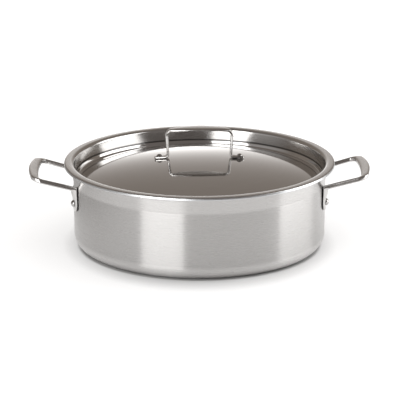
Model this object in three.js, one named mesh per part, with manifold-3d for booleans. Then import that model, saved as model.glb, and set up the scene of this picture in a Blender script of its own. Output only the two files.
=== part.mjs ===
// Two-handled saute pan with a sunken domed lid, in millimetres, +Z up.
// The origin is the middle of the base, on the surface that the pan stands on.
// +X points to one side handle, and the lid handle spans the same direction.
import * as THREE from "three";
import { mergeVertices } from "three/addons/utils/BufferGeometryUtils.js";
import Module from "manifold-3d";

const wasm = await Module();
wasm.setup();

const { cos, sin, tan, asin, atan2, hypot, sqrt, abs, sign, PI } = Math;
const degrees = THREE.MathUtils.degToRad;

// Pan, drawn from clad sheet: a steel skin outside, an aluminium core, a steel skin inside
const INSIDE_RADIUS = 149;
const OUTER_PLY = 0.5;
const CORE_PLY = 2.5;
const INNER_PLY = 0.5;
const RIM_HEIGHT = 104;
const BASE_CORNER = 15.5; // outside radius between base and wall

// Lid seat and pouring rim: above a crease the wall leans out, then turns over into a flange
const SEAT_DEPTH = 23; // from the rim's top down to the crease
const SEAT_LEAN = degrees(8);
const RIM_COVE = 0.8; // radius under the flange
const RIM_DROOP = degrees(6); // fall of the flange towards its edge
const RIM_REACH = 11.1; // flange edge beyond the outside of the wall

// Lid, pressed from thin sheet: a dome, a valley and a steep flange whose edge rests in the seat
const LID_SHEET = 1;
const LID_EDGE_DEPTH = 16; // from the rim's top down to the lid's edge
const LID_FLANGE_WIDTH = 1.6; // across the flange in plan
const LID_FLANGE_SLOPE = degrees(72);
const LID_VALLEY = 2; // radius of the valley, on top
const DOME_RADIUS = 445;

// Side handles: cast loops with two arms, a flat grip and an ear on the wall under each arm
const HANDLE_SPAN = 90; // across the arms at the wall, outside
const GRIP_SPAN = 96; // across the arms at the grip, outside
const HANDLE_REACH = 53.9; // tip beyond the outside of the wall
const HANDLE_DEPTH = 25.1; // from the rim's top down to the arms' middle where they meet the wall
const ROOT_TILT = degrees(15.5);
const TIP_TILT = degrees(14.5);
const ARM_WIDTH = 5.8;
const ARM_THICKNESS = 5.6;
const GRIP_WIDTH = 10.4; // at its ends
const GRIP_THICKNESS = 6.2;
const GRIP_BOW = 3.6; // the grip's middle beyond its ends, outside
const GRIP_INNER_BOW = 2;
const HANDLE_CORNER = 14; // outside corner radius in plan
const HANDLE_INNER_CORNER = 6;
const EAR_RADIUS = 10;
const EAR_RIVET_DEPTH = 44; // from the rim's top down to the rivet
const EAR_ROOT_THICKNESS = 6;
const EAR_THICKNESS = 2.8; // at the rivet
const EAR_TIP_THICKNESS = 2.2;

// Rivets of the side handles
const RIVET_SHANK = 3.8;
const RIVET_HEAD = 8.6;
const RIVET_HEAD_HEIGHT = 3;
const RIVET_INNER_HEAD = 10;
const RIVET_INNER_HEIGHT = 1.8;

// Lid handle: an upright strap, wide in the middle, whose ends turn out into two feet
const GRASP_HEIGHT = 37; // top of the strap above the dome's apex
const GRASP_CROWN = 3; // the strap's middle above its ends
const GRASP_TOP_SPAN = 83.2; // across the legs at the top, outside
const GRASP_FOOT_SPAN = 79.6; // across the legs at the feet, outside
const GRASP_THICKNESS = 3.8;
const GRASP_MIDDLE_WIDTH = 22;
const GRASP_LEG_WIDTH = 7;
const GRASP_CORNER = 8.6; // outside radius between strap and leg
const FOOT_THICKNESS = 3;
const FOOT_WIDTH = 10;
const FOOT_BEND = 4; // outside radius between leg and foot
const FOOT_SPAN = 109; // tip to tip
const FOOT_RIVET_SPAN = 96.6;

// Rivets of the lid handle
const LID_RIVET_SHANK = 3.4;
const LID_RIVET_HEAD = 6.8;
const LID_RIVET_HEAD_HEIGHT = 2.2;
const LID_RIVET_UNDER_HEAD = 7.4;
const LID_RIVET_UNDER_HEIGHT = 1.4;

// Clearances
const SEAT_GAP = 0.3; // between pieces that rest on each other
const RIVET_CLEARANCE = 0.2; // round a rivet's shank
const BOND_LINE = 0.05; // between the bonded plies
const OVERRUN = 1; // how far a cutting shape reaches past what it cuts
const WELD = 1e-4; // corners nearer than this are one corner

// Facets
const ROUND = 48; // round the pan and the lid
const BASE_CORNER_STEPS = 4;
const RIM_COVE_STEPS = 2;
const DOME_STEPS = 7;
const VALLEY_STEPS = 3;
const HANDLE_CORNER_STEPS = 6;
const HANDLE_RUN = [0, 0.35, 0.7]; // shares of an arm, or of half a grip, short of its corner
const EAR_ROUND = 180; // round the pan, on the ears' faces
const EAR_CURVE_STEPS = 10;
const RIVET_ROUND = 16;
const RIVET_DOME_STEPS = 3;
const STRAP_RUN = [0, 0.25, 0.5, 0.72]; // shares of half the lid handle's top, short of its corner
const GRASP_CORNER_STEPS = 5;
const FOOT_BEND_STEPS = 4;
const FOOT_END_STEPS = 4;
const FOOT_END_STOP = degrees(8); // left of the quarter circle at a foot's blunt tip
const SECTION_POINTS = 12;
const SECTION_SQUARENESS = 3; // 2 is an ellipse, higher is closer to a rectangle

// Sizes that follow from the ones above
const WALL = OUTER_PLY + CORE_PLY + INNER_PLY;
const OUTSIDE_RADIUS = INSIDE_RADIUS + WALL;
const RIM_RADIUS = OUTSIDE_RADIUS + RIM_REACH;
const CREASE_HEIGHT = RIM_HEIGHT - SEAT_DEPTH;
const LID_EDGE_HEIGHT = RIM_HEIGHT - LID_EDGE_DEPTH;

// A closed geometry with shared corners merged and collapsed triangles left out
function welded(geometry) {
  const bare = geometry.clone();
  bare.deleteAttribute("normal");
  bare.deleteAttribute("uv");
  const merged = mergeVertices(bare, WELD);
  const corners = merged.index.array;
  const kept = [];
  for (let i = 0; i < corners.length; i += 3) {
    const [a, b, c] = corners.slice(i, i + 3);
    if (a !== b && b !== c && c !== a) kept.push(a, b, c);
  }
  merged.setIndex(kept);
  return merged;
}

function toSolid(geometry) {
  const shape = welded(geometry);
  return new wasm.Manifold(
    new wasm.Mesh({
      numProp: 3,
      vertProperties: new Float32Array(shape.attributes.position.array),
      triVerts: new Uint32Array(shape.index.array),
    }),
  );
}

function toGeometry(solid) {
  const mesh = solid.getMesh();
  const geometry = new THREE.BufferGeometry();
  geometry.setAttribute("position", new THREE.BufferAttribute(mesh.vertProperties, 3));
  geometry.setIndex(new THREE.BufferAttribute(mesh.triVerts, 1));
  return geometry;
}

// A solid of revolution about Z from a profile of (radius, height) points
function revolved(profile, facets) {
  const points = profile.map(([r, z]) => new THREE.Vector2(r, z));
  return welded(new THREE.LatheGeometry(points, facets).rotateX(PI / 2));
}

// Points on an arc, from one angle to another, both ends included
function arc([x, y], radius, from, to, steps) {
  return Array.from({ length: steps + 1 }, (_, i) => {
    const angle = from + ((to - from) * i) / steps;
    return [x + radius * cos(angle), y + radius * sin(angle)];
  });
}

// A closed skin lofted through rings of points, with a flat cap on each end
function lofted(rings) {
  const size = rings[0].length;
  const faces = [];
  for (let i = 0; i + 1 < rings.length; i++) {
    for (let j = 0; j < size; j++) {
      const a = i * size + j;
      const b = i * size + ((j + 1) % size);
      faces.push(a, b, a + size, b, b + size, a + size);
    }
  }
  const last = (rings.length - 1) * size;
  for (let j = 1; j + 1 < size; j++) {
    faces.push(0, j + 1, j, last, last + j, last + j + 1);
  }
  const geometry = new THREE.BufferGeometry();
  geometry.setAttribute("position", new THREE.Float32BufferAttribute(rings.flat(2), 3));
  geometry.setIndex(faces);
  return geometry;
}

// The rounded-rectangle section of a strap: pairs from -1 to 1 across its width and thickness
const section = Array.from({ length: SECTION_POINTS }, (_, i) => {
  const angle = (2 * PI * (i + 0.5)) / SECTION_POINTS;
  const squared = (v) => sign(v) * abs(v) ** (2 / SECTION_SQUARENESS);
  return [squared(cos(angle)), squared(sin(angle))];
});

function cylinderAlong(direction, radius, from, to) {
  const length = to - from;
  const cylinder = new THREE.CylinderGeometry(radius, radius, length, RIVET_ROUND);
  const turn = new THREE.Quaternion().setFromUnitVectors(new THREE.Vector3(0, 1, 0), direction);
  const middle = direction.clone().multiplyScalar((from + to) / 2);
  return cylinder.applyQuaternion(turn).translate(...middle);
}

// Middle of the arc that turns the leaning wall over into the flange
const COVE_HEIGHT = RIM_HEIGHT - WALL - RIM_COVE;
const COVE_RISE = COVE_HEIGHT - CREASE_HEIGHT;
const COVE_RADIUS = OUTSIDE_RADIUS + (RIM_COVE + COVE_RISE * sin(SEAT_LEAN)) / cos(SEAT_LEAN);

// The pan's wall, from the axis to the rim, as the surface that lies this deep inside its outside
function wallSurface(depth) {
  const corner = [OUTSIDE_RADIUS - BASE_CORNER, BASE_CORNER];
  const cove = [COVE_RADIUS, COVE_HEIGHT];
  const coveTurn = [PI - SEAT_LEAN, PI / 2 - RIM_DROOP];
  const creaseShift = depth * tan(SEAT_LEAN / 2);
  return [
    [0, depth],
    ...arc(corner, BASE_CORNER - depth, -PI / 2, 0, BASE_CORNER_STEPS),
    [OUTSIDE_RADIUS - depth, CREASE_HEIGHT + creaseShift],
    ...arc(cove, RIM_COVE + depth, ...coveTurn, RIM_COVE_STEPS),
  ];
}

// Where the surface at this depth ends on the flange's rounded edge
function rimEdge(depth) {
  const half = WALL / 2;
  const setback = half - sqrt(half ** 2 - (depth - half) ** 2);
  const radius = RIM_RADIUS - setback * cos(RIM_DROOP) + (depth - half) * sin(RIM_DROOP);
  const crest = COVE_HEIGHT + (RIM_COVE + depth) / cos(RIM_DROOP);
  return [radius, crest - (radius - COVE_RADIUS) * tan(RIM_DROOP)];
}

// One ply of the clad sheet, between two depths under the outside
function ply(outer, inner) {
  const edge = [outer, (outer + inner) / 2, inner].map(rimEdge);
  return revolved([...wallSurface(outer), ...edge, ...wallSurface(inner).reverse()], ROUND);
}

// The lid's lower edge meets the leaning seat above the crease, inside the wall
const INNER_CREASE = CREASE_HEIGHT + WALL * tan(SEAT_LEAN / 2);
const LID_LOWER_EDGE = LID_EDGE_HEIGHT - LID_SHEET * cos(LID_FLANGE_SLOPE);
const SEAT_RADIUS = INSIDE_RADIUS + (LID_LOWER_EDGE - INNER_CREASE) * tan(SEAT_LEAN);
const LID_RADIUS = SEAT_RADIUS - SEAT_GAP;
const LID_EDGE_RADIUS = LID_RADIUS - LID_SHEET * sin(LID_FLANGE_SLOPE);
const VALLEY_RADIUS = LID_EDGE_RADIUS - LID_FLANGE_WIDTH;
const VALLEY_HEIGHT = LID_EDGE_HEIGHT - LID_FLANGE_WIDTH * tan(LID_FLANGE_SLOPE);
const DOME_CENTRE = VALLEY_HEIGHT - sqrt(DOME_RADIUS ** 2 - VALLEY_RADIUS ** 2);
const DOME_APEX = DOME_CENTRE + DOME_RADIUS;

// The lid's sheet as the surface that lies this deep under its top, from the axis to the edge
function lidSurface(depth) {
  const slope = tan(LID_FLANGE_SLOPE);
  // the valley's arc touches the dome from above and the flange from above
  const reach = DOME_RADIUS + LID_VALLEY;
  const flangeLift = LID_VALLEY / cos(LID_FLANGE_SLOPE);
  const lift = LID_EDGE_HEIGHT - LID_EDGE_RADIUS * slope + flangeLift - DOME_CENTRE;
  const half = (slope * lift) / (1 + slope ** 2);
  const radius = sqrt(half ** 2 + (reach ** 2 - lift ** 2) / (1 + slope ** 2)) - half;
  const height = DOME_CENTRE + lift + radius * slope;
  const tilt = asin(radius / reach);
  const centre = [0, DOME_CENTRE];
  const dome = arc(centre, DOME_RADIUS - depth, PI / 2, PI / 2 - tilt, DOME_STEPS);
  const turn = [-PI / 2 - tilt, LID_FLANGE_SLOPE - PI / 2];
  const valley = arc([radius, height], LID_VALLEY + depth, ...turn, VALLEY_STEPS);
  const edge = [
    LID_EDGE_RADIUS + depth * sin(LID_FLANGE_SLOPE),
    LID_EDGE_HEIGHT - depth * cos(LID_FLANGE_SLOPE),
  ];
  return [...dome, ...valley, edge];
}

const lidShell = revolved([...lidSurface(LID_SHEET), ...lidSurface(0).reverse()], ROUND);

// Where the side handles' rivets go through the wall, measured round from +X
const RIVET_OFFSET = HANDLE_SPAN / 2 - EAR_RADIUS;
const RIVET_AZIMUTH = asin(RIVET_OFFSET / (OUTSIDE_RADIUS + EAR_THICKNESS));
const RIVET_HEIGHT = RIM_HEIGHT - EAR_RIVET_DEPTH;
const rivetSides = {
  right_front: -RIVET_AZIMUTH,
  right_back: RIVET_AZIMUTH,
  left_front: PI + RIVET_AZIMUTH,
  left_back: PI - RIVET_AZIMUTH,
};

function rivetHole(azimuth) {
  const outward = new THREE.Vector3(cos(azimuth), sin(azimuth), 0);
  const radius = RIVET_SHANK / 2 + RIVET_CLEARANCE;
  const hole = cylinderAlong(outward, radius, INSIDE_RADIUS / 2, RIM_RADIUS);
  return toSolid(hole.translate(0, 0, RIVET_HEIGHT));
}

const rivetHoles = Object.values(rivetSides).map(rivetHole);

function drilled(geometry, holes) {
  return toGeometry(holes.reduce((left, hole) => left.subtract(hole), toSolid(geometry)));
}

// The height of a side handle's middle, in plan distance from the axis: steep at the wall, flatter out
const HANDLE_TIP = OUTSIDE_RADIUS + HANDLE_REACH;
const ARM_ROOT = sqrt(OUTSIDE_RADIUS ** 2 - (HANDLE_SPAN / 2) ** 2);

function handleHeight(x) {
  const out = x - ARM_ROOT;
  const bend = (tan(TIP_TILT) - tan(ROOT_TILT)) / (2 * (HANDLE_TIP - ARM_ROOT));
  return RIM_HEIGHT - HANDLE_DEPTH + out * tan(ROOT_TILT) + out ** 2 * bend;
}

// Half of a handle's loop in plan, from inside the wall to the middle of the grip:
// pairs of an inner and an outer edge point, and the thickness there
function halfLoop() {
  const side = GRIP_SPAN / 2;
  const end = HANDLE_TIP - GRIP_BOW;
  const innerEnd = end - GRIP_WIDTH;
  const innerSide = side - ARM_WIDTH;
  const outerCentre = [end - HANDLE_CORNER, side - HANDLE_CORNER];
  const innerCentre = [innerEnd - HANDLE_INNER_CORNER, innerSide - HANDLE_INNER_CORNER];
  const stations = [];
  const start = ARM_ROOT - ARM_WIDTH;
  const splay = (side - HANDLE_SPAN / 2) / (outerCentre[0] - ARM_ROOT);
  const armSide = (x) => side - splay * (outerCentre[0] - x);
  for (const share of HANDLE_RUN) {
    const inner = start + (innerCentre[0] - start) * share;
    const outer = start + (outerCentre[0] - start) * share;
    stations.push([[inner, armSide(inner) - ARM_WIDTH], [outer, armSide(outer)], ARM_THICKNESS]);
  }
  const outerCorner = arc(outerCentre, HANDLE_CORNER, PI / 2, 0, HANDLE_CORNER_STEPS);
  const innerCorner = arc(innerCentre, HANDLE_INNER_CORNER, PI / 2, 0, HANDLE_CORNER_STEPS);
  outerCorner.forEach((outer, i) => {
    const growth = ((GRIP_THICKNESS - ARM_THICKNESS) * i) / HANDLE_CORNER_STEPS;
    stations.push([innerCorner[i], outer, ARM_THICKNESS + growth]);
  });
  for (const share of HANDLE_RUN.toReversed()) {
    const bowed = 1 - share ** 2;
    const inner = [innerEnd + GRIP_INNER_BOW * bowed, innerCentre[1] * share];
    const outer = [end + GRIP_BOW * bowed, outerCentre[1] * share];
    stations.push([inner, outer, GRIP_THICKNESS]);
  }
  return stations;
}

function loopRing([inner, outer, thickness]) {
  return section.map(([across, up]) => {
    const x = (inner[0] + outer[0]) / 2 + ((outer[0] - inner[0]) / 2) * across;
    const y = (inner[1] + outer[1]) / 2 + ((outer[1] - inner[1]) / 2) * across;
    return [x, y, handleHeight(x) + (thickness / 2) * up];
  });
}

function handleLoop() {
  const half = halfLoop();
  const flipped = ([x, y]) => [x, -y];
  const other = half
    .slice(0, -1)
    .reverse()
    .map(([inner, outer, thickness]) => [flipped(inner), flipped(outer), thickness]);
  return lofted([...half, ...other].map(loopRing));
}

// One ear: a tab under the arm, round about its rivet, thick at the arm and thin at the tip
function ear() {
  const top = RIM_HEIGHT - HANDLE_DEPTH + ARM_THICKNESS / 2;
  const outerSide = HANDLE_SPAN / 2;
  const innerSide = RIVET_OFFSET - EAR_RADIUS;
  const outline = new THREE.Shape();
  outline.moveTo(outerSide, top);
  outline.lineTo(outerSide - ARM_WIDTH, top);
  outline.quadraticCurveTo(innerSide, top - EAR_RADIUS / 2, innerSide, RIVET_HEIGHT);
  outline.absarc(RIVET_OFFSET, RIVET_HEIGHT, EAR_RADIUS, PI, 2 * PI, false);
  outline.closePath();
  const block = new THREE.ExtrudeGeometry(outline, {
    depth: HANDLE_TIP,
    bevelEnabled: false,
    curveSegments: EAR_CURVE_STEPS,
  });
  // the outline's x and y become the part's Y and Z, and its depth runs along X
  block.applyMatrix4(
    new THREE.Matrix4().makeBasis(
      new THREE.Vector3(0, 1, 0),
      new THREE.Vector3(0, 0, 1),
      new THREE.Vector3(1, 0, 0),
    ),
  );
  const below = RIVET_HEIGHT - EAR_RADIUS - OVERRUN;
  const above = top + OVERRUN;
  const back = OUTSIDE_RADIUS + SEAT_GAP;
  const face = [
    [0, below],
    [back + EAR_TIP_THICKNESS, below],
    [back + EAR_THICKNESS, RIVET_HEIGHT - RIVET_HEAD / 2],
    [back + EAR_THICKNESS, RIVET_HEIGHT + RIVET_HEAD / 2],
    [back + EAR_ROOT_THICKNESS, top - ARM_THICKNESS],
    [back + EAR_ROOT_THICKNESS, above],
    [0, above],
  ];
  return toSolid(block).intersect(toSolid(revolved(face, EAR_ROUND)));
}

// What the wall takes away from a handle: the bowl's outside and a gap all round it
const wallRoom = toSolid(revolved([...wallSurface(-SEAT_GAP), [0, RIM_HEIGHT]], ROUND));

function sideHandle() {
  const oneEar = ear();
  const otherEar = oneEar.mirror([0, 1, 0]);
  const casting = toSolid(handleLoop()).add(oneEar).add(otherEar).subtract(wallRoom);
  return toGeometry(casting.subtract(rivetHoles[0]).subtract(rivetHoles[1]));
}

// A rivet about Z: its head stands on z = 0, and its set head closes the grip below
function rivet(shank, head, headHeight, grip, setHead, setHeight) {
  const dome = (diameter, height) => {
    const radius = ((diameter / 2) ** 2 + height ** 2) / (2 * height);
    return { centre: height - radius, radius, half: asin(diameter / 2 / radius) };
  };
  const top = dome(head, headHeight);
  const under = dome(setHead, setHeight);
  return revolved(
    [
      ...arc([0, -grip - under.centre], under.radius, -PI / 2, under.half - PI / 2, RIVET_DOME_STEPS),
      [shank / 2, -grip],
      [shank / 2, 0],
      ...arc([0, top.centre], top.radius, PI / 2 - top.half, PI / 2, RIVET_DOME_STEPS),
    ],
    RIVET_ROUND,
  );
}

// A side rivet's seats along its own axis: the ear's face outside, the wall's facets inside
const EAR_FACE = OUTSIDE_RADIUS + SEAT_GAP + EAR_THICKNESS + SEAT_GAP;
const INNER_HEAD_RISE = RIVET_INNER_HEAD ** 2 / (8 * INSIDE_RADIUS);
const INNER_SEAT = INSIDE_RADIUS * cos(PI / ROUND) - INNER_HEAD_RISE - SEAT_GAP;

// The lid handle's middle line in its own plane, from the top's middle to the tip of the right foot
const FOOT_TILT = asin(FOOT_RIVET_SPAN / 2 / DOME_RADIUS);
const FOOT_MIDDLE = DOME_RADIUS + SEAT_GAP + FOOT_THICKNESS / 2;

function onFoot(x) {
  // the foot lies along the dome's slope at its rivet
  const rivetX = FOOT_MIDDLE * sin(FOOT_TILT);
  const rivetZ = DOME_CENTRE + FOOT_MIDDLE * cos(FOOT_TILT);
  return [x, rivetZ - (x - rivetX) * tan(FOOT_TILT)];
}

// The arc that rounds the corner b between a and c, as points
function rounded(a, b, c, radius, steps) {
  const back = [a[0] - b[0], a[1] - b[1]].map((v) => v / hypot(a[0] - b[0], a[1] - b[1]));
  const on = [c[0] - b[0], c[1] - b[1]].map((v) => v / hypot(c[0] - b[0], c[1] - b[1]));
  const half = asin(hypot(on[0] - back[0], on[1] - back[1]) / 2);
  const out = [back[0] + on[0], back[1] + on[1]].map((v) => v / (2 * cos(half)));
  const centre = out.map((v, i) => b[i] + (v * radius) / sin(half));
  const start = back.map((v, i) => b[i] + (v * radius) / tan(half) - centre[i]);
  const end = on.map((v, i) => b[i] + (v * radius) / tan(half) - centre[i]);
  const from = atan2(start[1], start[0]);
  const swing = atan2(start[0] * end[1] - start[1] * end[0], start[0] * end[0] + start[1] * end[1]);
  return arc(centre, radius, from, from + swing, steps);
}

// Stations along half of the lid handle: a point on its middle line, and its width and thickness there
function halfGrasp() {
  const top = DOME_APEX + GRASP_HEIGHT - GRASP_THICKNESS / 2;
  const shoulder = [(GRASP_TOP_SPAN - GRASP_THICKNESS) / 2, top - GRASP_CROWN];
  const heel = onFoot((GRASP_FOOT_SPAN - GRASP_THICKNESS) / 2);
  const tip = onFoot(FOOT_SPAN / 2);
  const strap = STRAP_RUN.map((share) => [shoulder[0] * share, top - GRASP_CROWN * share ** 2]);
  const upperBend = GRASP_CORNER - GRASP_THICKNESS / 2;
  const lowerBend = FOOT_BEND - FOOT_THICKNESS / 2;
  const upper = rounded(strap.at(-1), shoulder, heel, upperBend, GRASP_CORNER_STEPS);
  const lower = rounded(shoulder, heel, tip, lowerBend, FOOT_BEND_STEPS);
  const narrowing = GRASP_MIDDLE_WIDTH - GRASP_LEG_WIDTH;
  const lens = (x) => GRASP_MIDDLE_WIDTH - narrowing * (x / shoulder[0]) ** 2;
  // the strap narrows into the first half of its corner, and the leg starts there
  const legStart = Math.ceil(GRASP_CORNER_STEPS / 2);
  const stations = [...strap, ...upper.slice(0, legStart)].map((p) => [p, lens(p[0]), GRASP_THICKNESS]);
  upper.slice(legStart).forEach((p) => stations.push([p, GRASP_LEG_WIDTH, GRASP_THICKNESS]));
  lower.forEach((p) => stations.push([p, FOOT_WIDTH, FOOT_THICKNESS]));
  // the foot's end is round in plan
  const endCentre = [FOOT_SPAN / 2 - FOOT_WIDTH / 2, 0];
  for (const [x, half] of arc(endCentre, FOOT_WIDTH / 2, PI / 2, FOOT_END_STOP, FOOT_END_STEPS)) {
    stations.push([onFoot(x), 2 * half, FOOT_THICKNESS]);
  }
  return stations;
}

function graspRings() {
  const half = halfGrasp();
  const mirrored = half
    .slice(1)
    .reverse()
    .map(([[x, z], width, thickness]) => [[-x, z], width, thickness]);
  const stations = [...mirrored, ...half];
  return stations.map(([[x, z], width, thickness], i) => {
    const before = stations[Math.max(i - 1, 0)][0];
    const after = stations[Math.min(i + 1, stations.length - 1)][0];
    const along = [after[0] - before[0], after[1] - before[1]];
    const length = hypot(...along);
    const normal = [-along[1] / length, along[0] / length];
    return section.map(([across, up]) => [
      x + (normal[0] * up * thickness) / 2,
      (across * width) / 2,
      z + (normal[1] * up * thickness) / 2,
    ]);
  });
}

const footNormal = (side) => new THREE.Vector3(side * sin(FOOT_TILT), 0, cos(FOOT_TILT));
const lidSides = [
  [-1, "lid_rivet_left"],
  [1, "lid_rivet_right"],
];
const lidHoles = lidSides.map(([side]) => {
  const radius = LID_RIVET_SHANK / 2 + RIVET_CLEARANCE;
  const from = DOME_RADIUS - LID_SHEET - OVERRUN;
  const to = FOOT_MIDDLE + FOOT_THICKNESS / 2 + OVERRUN;
  const hole = cylinderAlong(footNormal(side), radius, from, to);
  return toSolid(hole.translate(0, 0, DOME_CENTRE));
});

// Finishes
const brushedSteel = { color: 0xb4b4b2, roughness: 0.38, metalness: 1 };
const satinSteel = { color: 0xc2c1be, roughness: 0.3, metalness: 1 };
const polishedSteel = { color: 0xcfcdc9, roughness: 0.12, metalness: 1 };
const castSteel = { color: 0xbdbbb7, roughness: 0.2, metalness: 1 };
const aluminium = { color: 0xd2d4d6, roughness: 0.5, metalness: 1 };

function piece(name, geometry, finish) {
  const mesh = new THREE.Mesh(geometry, new THREE.MeshStandardMaterial(finish));
  mesh.name = name;
  return mesh;
}

const pan = new THREE.Group();
const coreTop = OUTER_PLY + CORE_PLY;
pan.add(
  piece("pan_outer_ply", drilled(ply(0, OUTER_PLY), rivetHoles), brushedSteel),
  piece("pan_core_ply", drilled(ply(OUTER_PLY + BOND_LINE, coreTop - BOND_LINE), rivetHoles), aluminium),
  piece("pan_inner_ply", drilled(ply(coreTop, WALL), rivetHoles), satinSteel),
);

const rightHandle = piece("side_handle_right", sideHandle(), castSteel);
const leftHandle = piece("side_handle_left", sideHandle(), castSteel);
leftHandle.rotation.z = PI;
pan.add(rightHandle, leftHandle);

for (const [side, azimuth] of Object.entries(rivetSides)) {
  const shape = rivet(
    RIVET_SHANK,
    RIVET_HEAD,
    RIVET_HEAD_HEIGHT,
    EAR_FACE - INNER_SEAT,
    RIVET_INNER_HEAD,
    RIVET_INNER_HEIGHT,
  );
  const fastener = piece(`side_rivet_${side}`, shape, polishedSteel);
  fastener.position.set(EAR_FACE * cos(azimuth), EAR_FACE * sin(azimuth), RIVET_HEIGHT);
  fastener.rotation.set(0, PI / 2, azimuth, "ZYX");
  pan.add(fastener);
}

const lid = new THREE.Group();
lid.add(
  piece("lid", drilled(lidShell, lidHoles), polishedSteel),
  piece("lid_handle", drilled(lofted(graspRings()), lidHoles), castSteel),
);

const FOOT_FACE = FOOT_MIDDLE + FOOT_THICKNESS / 2 + SEAT_GAP;
const UNDER_LID = DOME_RADIUS - LID_SHEET - SEAT_GAP;
for (const [side, name] of lidSides) {
  const shape = rivet(
    LID_RIVET_SHANK,
    LID_RIVET_HEAD,
    LID_RIVET_HEAD_HEIGHT,
    FOOT_FACE - UNDER_LID,
    LID_RIVET_UNDER_HEAD,
    LID_RIVET_UNDER_HEIGHT,
  );
  const fastener = piece(name, shape, polishedSteel);
  fastener.position.copy(footNormal(side)).multiplyScalar(FOOT_FACE);
  fastener.position.z += DOME_CENTRE;
  fastener.rotation.y = side * FOOT_TILT;
  lid.add(fastener);
}

const sautePan = new THREE.Group();
sautePan.add(pan, lid);

export default sautePan;
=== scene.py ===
from math import asin, atan2, copysign, cos, hypot, pi, radians, sin, sqrt, tan

import bmesh
import bpy
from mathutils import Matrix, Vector


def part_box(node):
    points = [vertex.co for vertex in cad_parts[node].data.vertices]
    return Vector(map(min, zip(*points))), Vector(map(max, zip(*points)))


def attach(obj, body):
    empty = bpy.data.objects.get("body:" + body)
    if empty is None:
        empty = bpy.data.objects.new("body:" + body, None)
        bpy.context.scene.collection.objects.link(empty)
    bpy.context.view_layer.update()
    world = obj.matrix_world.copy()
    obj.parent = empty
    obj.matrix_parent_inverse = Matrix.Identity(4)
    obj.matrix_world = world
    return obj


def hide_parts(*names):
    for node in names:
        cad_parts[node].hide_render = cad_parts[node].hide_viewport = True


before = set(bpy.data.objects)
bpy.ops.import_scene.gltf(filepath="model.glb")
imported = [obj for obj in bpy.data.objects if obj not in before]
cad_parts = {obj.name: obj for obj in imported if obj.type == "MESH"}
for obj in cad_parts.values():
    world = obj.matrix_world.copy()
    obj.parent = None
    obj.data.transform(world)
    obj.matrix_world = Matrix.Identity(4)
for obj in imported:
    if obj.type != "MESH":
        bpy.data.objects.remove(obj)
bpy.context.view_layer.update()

# The bowl is drawn from one disc of clad sheet: a magnetic steel skin outside, an aluminium
# core that spreads the heat, and a steel skin inside. Above a crease the wall leans out to
# seat the lid, then turns over into a crowned pouring rim with a polished edge.
SKIN = 0.0005
WALL = 0.0035
BOND_LINE = 0.00005
RIM_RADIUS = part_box("pan_core_ply")[1].x
RIM_HEIGHT = 0.104
RIM_REACH = 0.0111  # flange edge beyond the outside of the wall
OUTSIDE_RADIUS = RIM_RADIUS - RIM_REACH
INSIDE_RADIUS = OUTSIDE_RADIUS - WALL
BASE_CORNER = 0.0155
SEAT_DEPTH = 0.023  # from the rim's top down to the crease
CREASE_HEIGHT = RIM_HEIGHT - SEAT_DEPTH
CREASE_ROUND = 0.0015
SEAT_LEAN = radians(8)
RIM_COVE = 0.0008  # radius under the flange, next to the wall
CREST_LEAN = radians(3.5)  # short of level, where the cove runs into the crown
RIM_CROWN = 0.03  # radius of the flange's underside
EDGE_FOOT = 0.0008  # rounding at the edge's underside
EDGE_LEAN = radians(12)
EDGE_ROUND = 0.0014  # rounding at the edge's top
COVE_HEIGHT = RIM_HEIGHT - WALL - RIM_COVE
COVE_RISE = COVE_HEIGHT - CREASE_HEIGHT
COVE_RADIUS = OUTSIDE_RADIUS + (RIM_COVE + COVE_RISE * sin(SEAT_LEAN)) / cos(SEAT_LEAN)
CROWN_RADIUS = COVE_RADIUS + (RIM_CROWN - RIM_COVE) * sin(CREST_LEAN)
CROWN_HEIGHT = COVE_HEIGHT - (RIM_CROWN - RIM_COVE) * cos(CREST_LEAN)
HOLD = 0.0004  # keeps a straight run flat next to its rounded ends
BASE_STEPS = 16
CREASE_STEPS = 4
COVE_STEPS = 12
CROWN_STEPS = 8
EDGE_STEPS = 6
ROUND_SEGMENTS = 192
WELD = 1e-6
SHARP_FROM = radians(40)
MIX_ONE, MIX_OTHER, MIX_RESULT = 6, 7, 2  # a Mix node's sockets for colours

OUTSIDE_TINTS = (0.468, 0.46, 0.453), (0.498, 0.49, 0.483)
OUTSIDE_ROUGHNESS = 0.26, 0.3
# painted reflection: the outside's colour is lighter on the flare and at the base's corner, for
# the brighter light they mirror
FLARE_PAINTED_REFLECTION = 1.14
CREASE_BLEND = 0.002  # above and below the crease
BASE_PAINTED_REFLECTION = 1.34
BASE_REFLECTION_START = BASE_CORNER - 0.004
BASE_REFLECTION_END = BASE_CORNER + 0.002
CORE_TINTS = (0.6, 0.61, 0.62), (0.68, 0.69, 0.7)
CORE_ROUGHNESS = 0.4, 0.52
EDGE_POLISH = 0.7  # share of that roughness left on the cut edge
EDGE_POLISH_START = RIM_RADIUS - 0.006
EDGE_POLISH_END = RIM_RADIUS - 0.004
INSIDE_TINTS = (0.57, 0.565, 0.555), (0.63, 0.62, 0.61)
SATIN_ROUGHNESS = 0.2, 0.28
SEAT_ROUGHNESS = 0.14, 0.19
SEAT_END = OUTSIDE_RADIUS + 0.003
RIM_START = OUTSIDE_RADIUS + 0.0045
# painted shadow: a dark line on the inside at the height of the lid's edge
LID_SHADOW_HEIGHT = RIM_HEIGHT - 0.0155
LID_SHADOW_WIDTH = 0.0012
LID_SHADOW_DARKNESS = 0.3


def arc(centre, radius, start, end, steps):
    """Points on an arc from one angle to another, both ends included."""
    angles = (start + (end - start) * i / steps for i in range(steps + 1))
    return [(centre[0] + radius * cos(a), centre[1] + radius * sin(a)) for a in angles]


def towards(start, goal, distance):
    """The point this far from one point on the way to another."""
    share = distance / hypot(goal[0] - start[0], goal[1] - start[1])
    return start[0] + (goal[0] - start[0]) * share, start[1] + (goal[1] - start[1]) * share


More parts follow.
